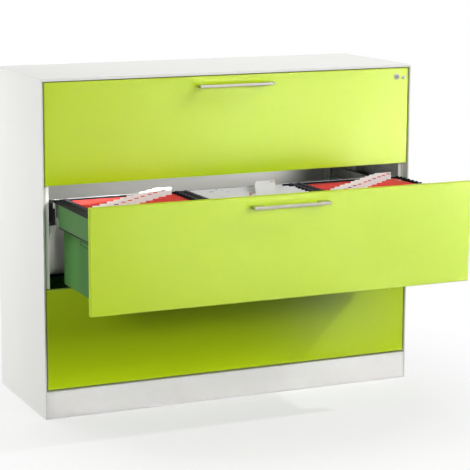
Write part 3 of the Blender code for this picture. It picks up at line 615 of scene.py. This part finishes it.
def title_strips():
    """The middle bay's dark files carry full-width white strips, and taller tabs near the right at the rear."""
    pick = random.Random(2)
    shape = bmesh.new()
    for i, y in enumerate(file_places()):
        left = (-0.1530, -0.1520, -0.1450, -0.1385)[i] if i < 4 else -0.1440 + 0.006 * (i % 2)
        right = 0.1610 + 0.0105 * min(i, 2) - (0.004 if i > 2 else 0.0)
        front = y - 0.0020
        high = RAIL_TOP + 0.0016 + pick.uniform(-0.0008, 0.0008)
        low = LABEL_FOOT
        add_prism(shape, [(left, low), (right, low), (right - 0.001, high), (left + 0.001, high)],
                  "Y", front - 0.0006, front)
        if i in (0, 1, 2, 6):
            x = -0.0625 + 0.0075 * i
            add_prism(shape, [(x, low + 0.0010), (x + 0.0012, low + 0.0010), (x + 0.0072, high - 0.0004),
                              (x + 0.0060, high - 0.0004)], "Y", front - 0.0009, front - 0.0006, 3)
        if i in (1, 4):
            x = -0.128 + 0.035 * i
            add_block(shape, (x, front - 0.0009, high - 0.0032), (x + 0.0150, front - 0.0006, high - 0.0018), 3)
        if i < 6:
            left = 0.0735 - 0.0103 * i - pick.uniform(0, 0.003) - (0.006 if i > 0 else 0.0)
            tall = TAB_TOP - (0.0012 if i % 2 else 0.0)
            mark = (1, 1, 0, 1, 0, 0)[i]
            add_tab(shape, left, y - 0.0030, low, tall, 0.134 - 0.0103 * i - left, mark)
        if i in (4, 5):
            x = 0.006 - 0.012 * i + 0.048
            add_block(shape, (x, front - 0.0009, high - 0.0045), (x + 0.0110, front - 0.0006, high - 0.0018), 1)
    finished("title_strips", shape, ["white_card", "red_ink", "violet_ink", "black_ink"], "drawer_middle",
             replaces=["hanging_files_centre"])


# ---------------------------------------------------------------- drawer and carcass details

HOOD_HEIGHT = 0.063
HOOD_SETBACK = 0.052
HOOD_OVERHANG = 0.034
SLOT_EDGE = 0.0014


def hood_shadow_strips_and_slots():
    """A black strip under each hood, standing for the shadow along the hood's lower edge, and a pressed cable
    slot in the tray's side below it, drawn as a dark outline of painted shade.
    """
    for level in LEVELS:
        low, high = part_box(f"drawer_tray_{level}")
        hood_end = high.z - HOOD_HEIGHT
        rear = high.y - HOOD_SETBACK
        strips, slots = bmesh.new(), bmesh.new()
        for side in SIDES.values():
            outer, wall = side * high.x, side * (high.x - HOOD_OVERHANG)
            near, far = sorted((outer, outer - side * 0.0012))
            # Painted shadow: a thin black strip along the hood's lower edge, where its overhang casts shade.
            add_block(strips, (near, low.y + 0.001, hood_end - 0.0042), (far, rear, hood_end - 0.0002))
            # Painted shade: the slot is drawn as four thin dark strips where its edges fall into shadow.
            y0, y1, z0, z1 = low.y + 0.150, low.y + 0.230, hood_end - 0.0395, hood_end - 0.0265
            near, far = sorted((wall, wall + side * 0.0006))
            for a, b, c, d in ((y0, y1, z1 - SLOT_EDGE, z1), (y0, y1, z0, z0 + SLOT_EDGE),
                               (y0, y0 + SLOT_EDGE, z0, z1), (y1 - SLOT_EDGE, y1, z0, z1)):
                add_block(slots, (near, a, c), (far, b, d))
        finished(f"hood_shadow_strip_{level}", strips, ["black_plastic"], f"drawer_{level}", soften=0.0003)
        finished(f"side_slots_{level}", slots, ["slot_shade_green"], f"drawer_{level}")


def rail_ends():
    """A pale rod along the rear of each file rail, and the white clips that hold the rail's rear corners."""
    for level in LEVELS:
        low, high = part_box(f"file_rails_{level}")
        shape = bmesh.new()
        add_block(shape, (low.x + 0.004, high.y - 0.0016, high.z + 0.0001),
                  (high.x - 0.004, high.y - 0.0002, high.z + 0.0012))
        for side in SIDES.values():
            x = side * (high.x - 0.0035)
            profile = [(0.0, low.z - 0.0190), (0.0020, low.z - 0.0180), (0.0030, low.z - 0.0155),
                       (0.0030, low.z - 0.0035), (0.0022, low.z - 0.0010), (0.0, low.z)]
            add_turned(shape, profile, (x, high.y - 0.0060, 0.0), "Z", 16, 1)
        finished(f"rail_end_{level}", shape, ["zinc_plate", "white_plastic"], f"drawer_{level}")


KEYHOLE_SHADE_RADIUS = 0.0035


def keyhole_shade():
    """Painted shade for the keyhole: two dark half discs on the barrel's face, beside the keyway."""
    low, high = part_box("lock_barrel")
    centre = (low + high) / 2
    shape = bmesh.new()
    for side in SIDES.values():
        outline = [(centre.x + side * KEYHOLE_SHADE_RADIUS * math.cos(a), centre.z + KEYHOLE_SHADE_RADIUS * math.sin(a))
                   for a in (math.radians(step) for step in range(-76, 77, 19))]
        add_prism(shape, outline, "Y", low.y - 0.0002, low.y + 0.0002)
    finished("keyhole_shade", shape, ["black_plastic"], "lock_barrel")


UPRIGHT_FACE = 0.5853
BRACKET_ENDS = (0.5445, 0.5828)


def front_flanges():
    """The carcass's folded inner edges beside the drawers, and the pale end brackets of the runner carriers."""
    low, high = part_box("upright_front_left")
    for name, side in SIDES.items():
        shape = bmesh.new()
        face = side * UPRIGHT_FACE
        outline = [(face, low.y), (face - side * 0.0100, low.y), (face - side * 0.0106, low.y + 0.0006),
                   (face - side * 0.0106, low.y + 0.0050), (face - side * 0.0096, low.y + 0.0050),
                   (face - side * 0.0096, low.y + 0.0012), (face, low.y + 0.0012)]
        add_prism(shape, outline, "Z", low.z + 0.001, high.z - 0.001)
        finished(f"front_flange_{name}", shape, ["white_paint"], "carcass", soften=0.0003)
        brackets = bmesh.new()
        for level in LEVELS:
            carrier_low, carrier_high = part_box(f"runner_fixed_{level}_{name}")
            y, z = carrier_low.y, carrier_low.z
            inner, outer = (side * end for end in BRACKET_ENDS)
            outline = [(inner, z), (outer, z), (outer, z - 0.0240), (outer - side * 0.022, z - 0.0250),
                       (inner + side * 0.004, z - 0.0080)]
            add_prism(brackets, outline, "Y", y + 0.0002, y + 0.0018)
        finished(f"carrier_brackets_{name}", brackets, ["light_grey_paint"], "carcass",
                 soften=0.0003)


FOLDS = ((0.532, 0.0030), (0.547, 0.0060), (0.5675, 0.0040))
FOLD_WIDTH = 0.0030


def back_folds():
    """Upright folds that stiffen the back panel near its sides, each from its place and how proud it stands. They
    are paler than the panel, a painted highlight along each fold.
    """
    low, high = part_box("back_panel")
    shape = bmesh.new()
    for side in SIDES.values():
        for x, proud in FOLDS:
            near, far = sorted((side * x, side * (x + FOLD_WIDTH)))
            outline = [(near, low.y + 0.0002), (near + 0.0006, low.y - proud), (far - 0.0006, low.y - proud),
                       (far, low.y + 0.0002)]
            add_prism(shape, outline, "Z", low.z + 0.012, high.z - 0.012)
    finished("back_folds", shape, ["fold_highlight_grey"], "carcass")


# ---------------------------------------------------------------- stage, lights and camera

CARCASS_FRONT = -0.016


def seen_or_mirrored(tree):
    """1 where the eye, a reflection or glass looks straight at it, and 0 for the light it sends out."""
    rays = add_node(tree, "ShaderNodeLightPath").outputs
    mirrored = maths(tree, "MAXIMUM", rays["Is Glossy Ray"], rays["Is Transmission Ray"])
    return maths(tree, "MAXIMUM", rays["Is Camera Ray"], mirrored)


def pale_stage():
    """A pale floor that keeps the cabinet's shadow and goes to plain white further off."""
    shape = bmesh.new()
    bmesh.ops.create_circle(shape, cap_ends=True, segments=96, radius=14.0)
    mesh = bpy.data.meshes.new("floor")
    shape.to_mesh(mesh)
    shape.free()
    floor = bpy.data.objects.new("floor", mesh)
    bpy.context.scene.collection.objects.link(floor)
    made = bpy.data.materials.new("pale_floor")
    made.use_nodes = True
    tree = made.node_tree
    tree.nodes.clear()
    place = place_of(tree)
    away = add_node(tree, "ShaderNodeVectorMath", {0: place}, operation="LENGTH").outputs["Value"]
    speck = from_to(tree, noise(tree, place, 60.0, 3.0), 0.3, 0.7, 0.97, 1.0)
    tone = blend_colours(tree, 1.0, (0.93, 0.93, 0.925, 1.0), (1.0, 1.0, 1.0, 1.0), "MULTIPLY")
    tone = blend_colours(tree, speck, (0.90, 0.90, 0.895, 1.0), tone)
    bounced = add_node(tree, "ShaderNodeLightPath").outputs["Is Diffuse Ray"]
    tone = blend_colours(tree, bounced, tone, (0.18, 0.18, 0.18, 1.0))
    lit = add_node(tree, "ShaderNodeBsdfDiffuse", {"Color": tone})
    white = add_node(tree, "ShaderNodeEmission", {"Color": (1.0, 1.0, 1.0, 1.0), "Strength": 1.0})
    far = from_to(tree, away, 0.55, 1.2, 0.62, 1.0)
    mixed = add_node(tree, "ShaderNodeMixShader", {0: maths(tree, "MULTIPLY", far, seen_or_mirrored(tree)),
                                                   1: lit.outputs[0], 2: white.outputs[0]})
    out = tree.nodes.new("ShaderNodeOutputMaterial")
    tree.links.new(mixed.outputs[0], out.inputs[0])
    mesh.materials.append(made)


def surroundings():
    """White to the eye and in reflections, and a moderate fill on the object."""
    world = bpy.data.worlds.new("studio")
    bpy.context.scene.world = world
    world.use_nodes = True
    tree = world.node_tree
    tree.nodes.clear()
    fill = add_node(tree, "ShaderNodeBackground", {"Color": (1.0, 1.0, 1.0, 1.0), "Strength": 0.03})
    white = add_node(tree, "ShaderNodeBackground", {"Color": (1.0, 1.0, 1.0, 1.0), "Strength": 1.0})
    mixed = add_node(tree, "ShaderNodeMixShader",
                     {0: seen_or_mirrored(tree), 1: fill.outputs[0], 2: white.outputs[0]})
    out = tree.nodes.new("ShaderNodeOutputWorld")
    tree.links.new(mixed.outputs[0], out.inputs[0])


def aimed(made, place, target):
    """Puts a lamp in its place and turns it to its target."""
    made.location = place
    made.rotation_euler = (Vector(target) - Vector(place)).to_track_quat("-Z", "Y").to_euler()
    bpy.context.scene.collection.objects.link(made)


def reaches(lamp, *nodes, state="INCLUDE"):
    """Keeps the lamp's light to these pieces, or off them."""
    chosen = bpy.data.collections.new(f"chosen_for_{lamp.name}")
    for node in nodes:
        chosen.objects.link(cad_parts[node])
    lamp.light_linking.receiver_collection = chosen
    for held in chosen.collection_objects:
        held.light_linking.link_state = state


def soft_panel(name, place, target, width, height, power):
    """A rectangular lamp, hidden from the eye."""
    data = bpy.data.lights.new(name, "AREA")
    data.shape = "RECTANGLE"
    data.size, data.size_y = width, height
    data.energy = power
    made = bpy.data.objects.new(name, data)
    aimed(made, place, target)
    made.visible_camera = False
    return made


def lamps():
    """A small key from the right, wide panels, two small ones inside, and sheens for the fronts alone."""
    key = bpy.data.lights.new("key_lamp", "POINT")
    key.energy = 250
    key.shadow_soft_size = 0.055
    lamp = bpy.data.objects.new("key_lamp", key)
    aimed(lamp, (2.9, -1.2 + CARCASS_FRONT, 2.8), (0, 0, 0.5))
    lamp.visible_camera = False
    soft_panel("left_front_panel", (-1.95, -2.4, 1.05), (-0.2, 0.0, 0.30), 0.7, 0.6, 23)
    side = soft_panel("left_rear_panel", (-2.4, 2.4, 0.60), (-0.6, 0.10, 0.45), 3.0, 1.3, 100)
    side.visible_glossy = False
    soft_panel("front_above_panel", (2.7, -5.0, 2.8), (0.0, 0.0, 0.3), 3.4, 1.5, 162)
    soft_panel("overhead_panel", (-0.2, 0.8, 3.0), (0.0, 0.2, 0.9), 2.4, 1.2, 28)
    low = soft_panel("low_front_strip", (0.0, -2.6, 0.06), (0.0, 0.0, 0.045), 2.4, 0.05, 0.25)
    low.data.spread = math.radians(5)
    fill = soft_panel("compartment_fill", (-0.02, 0.030, 0.672), (-0.16, 0.43, 0.600), 1.04, 0.014, 0.40)
    fill.data.spread = math.radians(50)
    outside = [f"drawer_{piece}_{level}" for piece in ("front", "handle") for level in LEVELS]
    reaches(fill, "side_panel_left", "side_panel_right", "plinth_front", *outside, state="EXCLUDE")
    gap = soft_panel("gap_light", (-0.604, -0.300, 0.45), (-0.425, 0.416, 0.40), 0.03, 0.22, 0.08)
    gap.data.spread = math.radians(20)
    reaches(gap, "back_panel", "drawer_tray_middle", "drawer_liner_middle")
    for name, place, target, width, height, power, spread, lit in (
            ("round_sheen", (2.20, -2.15, 0.40), (0.75, 0.0, 0.98), 0.6, 0.6, 9.0, 30, LEVELS),
            ("upper_sheen", (1.42, -2.15, 0.60), (0.22, 0.0, 0.84), 1.9, 0.4, 11.0, 30, ("top", "middle")),
            ("wide_sheen", (1.25, -2.15, 0.34), (0.15, 0.0, 0.84), 2.0, 0.6, 4.0, 30, LEVELS),
            ("low_sheen", (0.76, -1.40, 0.19), (0.2, -0.374, 0.42), 1.8, 0.22, 5.0, 40, ("middle",)),
            ("floor_sheen", (0.80, -0.75, 0.05), (0.40, 0.0, 0.20), 0.3, 0.1, 0.5, 40, ("bottom",))):
        sheen = soft_panel(name, place, target, width, height, power)
        sheen.visible_diffuse = False
        sheen.data.spread = math.radians(spread)
        reaches(sheen, *(f"drawer_front_{level}" for level in lit))


def photo_camera():
    """The place and lens fitted to the photo's corners; the focal length is in pixels of its 470."""
    data = bpy.data.cameras.new("photo_camera")
    data.sensor_width = 36.0
    data.lens = 1734.8 / 470 * data.sensor_width
    data.shift_x, data.shift_y = 0.09, -0.05
    data.clip_end = 60
    camera = bpy.data.objects.new("photo_camera", data)
    camera.location = (-2.137, -4.653 + CARCASS_FRONT, 1.482)
    camera.rotation_euler = (math.radians(90 - 10.02), 0, math.radians(-23.29))
    bpy.context.scene.collection.objects.link(camera)
    bpy.context.scene.camera = camera


# ---------------------------------------------------------------- the scene

dress_cad_nodes()
for bay_name, cover_finish in (("left", "red_card"), ("centre", "dark_card"), ("right", "red_card")):
    hanging_files(bay_name, cover_finish)
for bay_name in BAY_EDGES:
    hook_bars(bay_name)
label_tabs("left")
label_tabs("right")
title_strips()
hood_shadow_strips_and_slots()
rail_ends()
keyhole_shade()
front_flanges()
back_folds()
pale_stage()
surroundings()
lamps()
photo_camera()
bpy.context.scene.view_settings.view_transform = "Standard"
